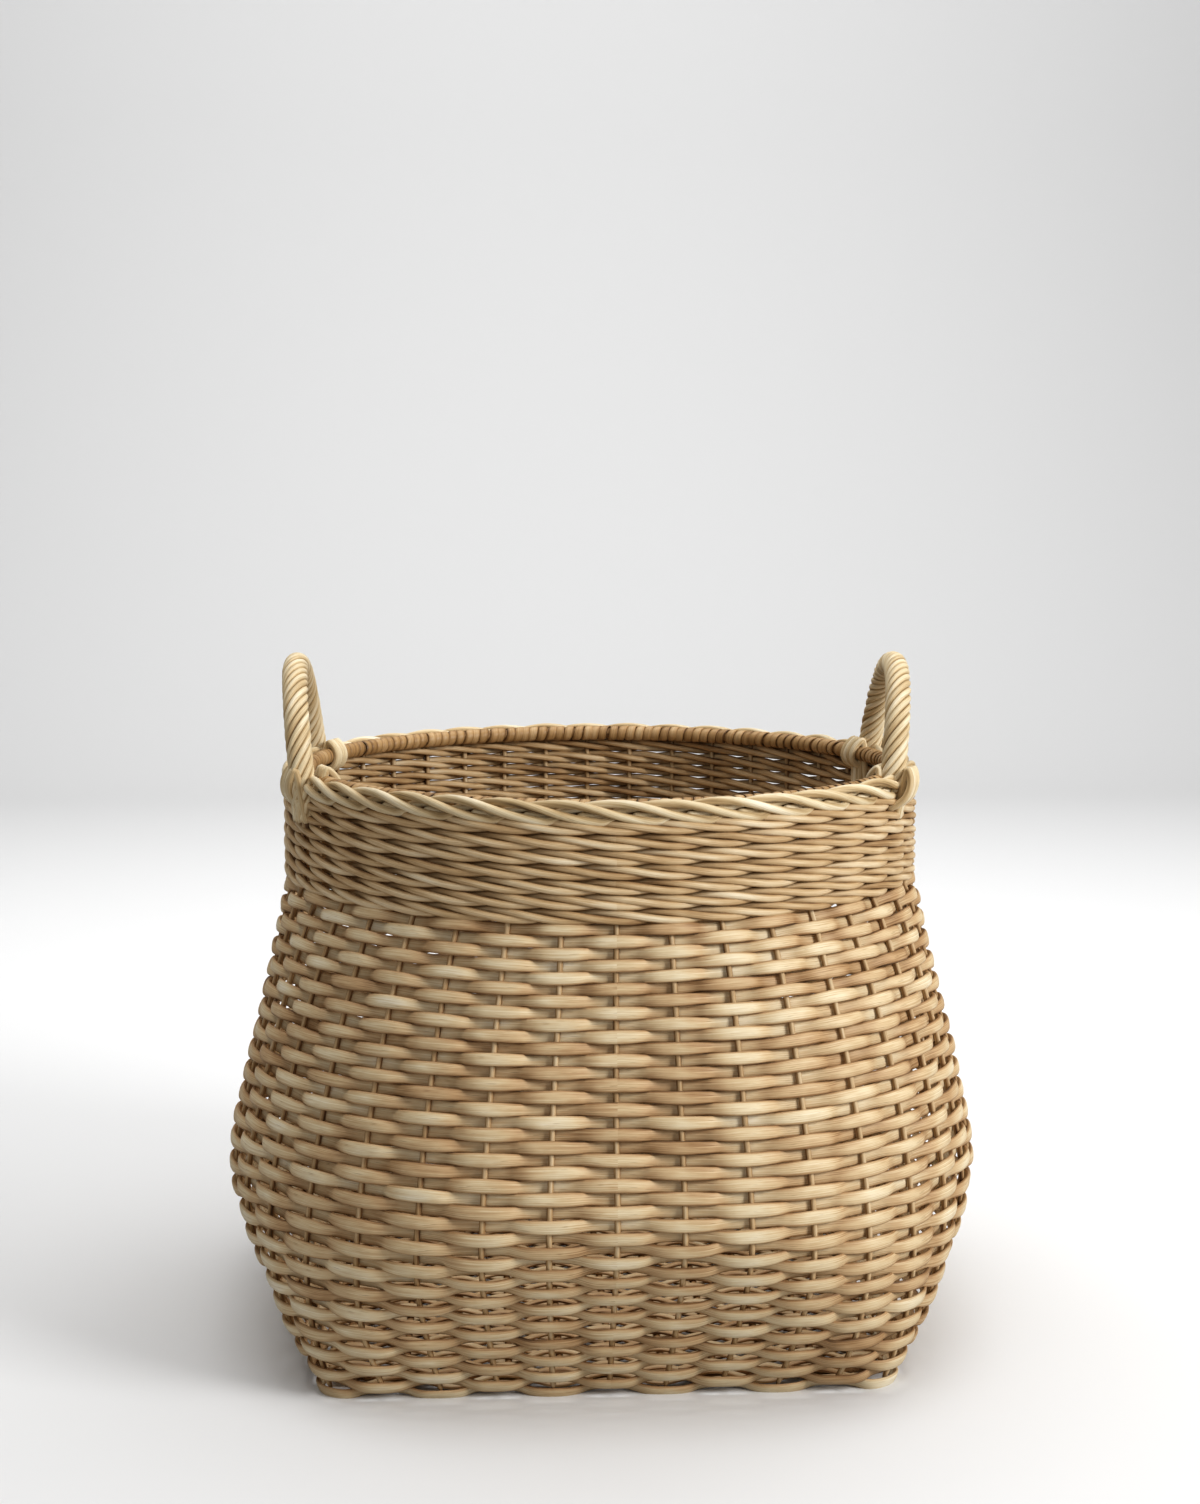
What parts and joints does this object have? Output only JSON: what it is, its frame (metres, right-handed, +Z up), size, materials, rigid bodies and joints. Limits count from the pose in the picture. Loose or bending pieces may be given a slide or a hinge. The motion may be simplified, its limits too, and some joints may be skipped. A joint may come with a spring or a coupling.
{
  "type": "wicker basket",
  "caption": "Open woven rattan basket with a rounded-square base, wide belly, round waled mouth, rolled border and two upright roped bow handles.",
  "frame": {"origin": "on the floor under the middle of the base", "axes": "+Z up, the two handles at +X and -X, the front at -Y"},
  "size_m": [0.442, 0.442, 0.4],
  "materials": {
    "round_core": "peeled round rattan core, unvarnished, fine long fibres",
    "flat_oval_core": "flat-oval rattan core, unvarnished, fine long fibres",
    "wale_core": "round rattan core, unvarnished",
    "handle_core_rope": "round rattan core laid as roping",
    "cane_binding": "flat rattan cane wound close, satin skin side out"
  },
  "bodies": {
    "root": {"base_edge_rod": "round_core", "base_sticks": "round_core", "base_weave": "flat_oval_core", "corner_stakes": "round_core", "handle_core_left": "round_core", "handle_core_right": "round_core", "handle_roping_left": "handle_core_rope", "handle_roping_right": "handle_core_rope", "hoop_wrapping": "cane_binding", "inner_ties_left": "handle_core_rope", "inner_ties_right": "handle_core_rope", "outer_ties_left": "handle_core_rope", "outer_ties_right": "handle_core_rope", "rim_hoop": "round_core", "rolled_border": "round_core", "side_stakes": "round_core", "wale_course_1": "wale_core", "wale_course_2": "wale_core", "wale_course_3": "wale_core", "wale_course_4": "wale_core", "wale_course_5": "wale_core", "wale_course_6": "wale_core", "wale_course_7": "wale_core", "weave_belly": "flat_oval_core", "weave_foot": "flat_oval_core", "weave_lower": "flat_oval_core", "weave_neck": "flat_oval_core", "weave_shoulder": "flat_oval_core"}
  },
  "joints": []
}
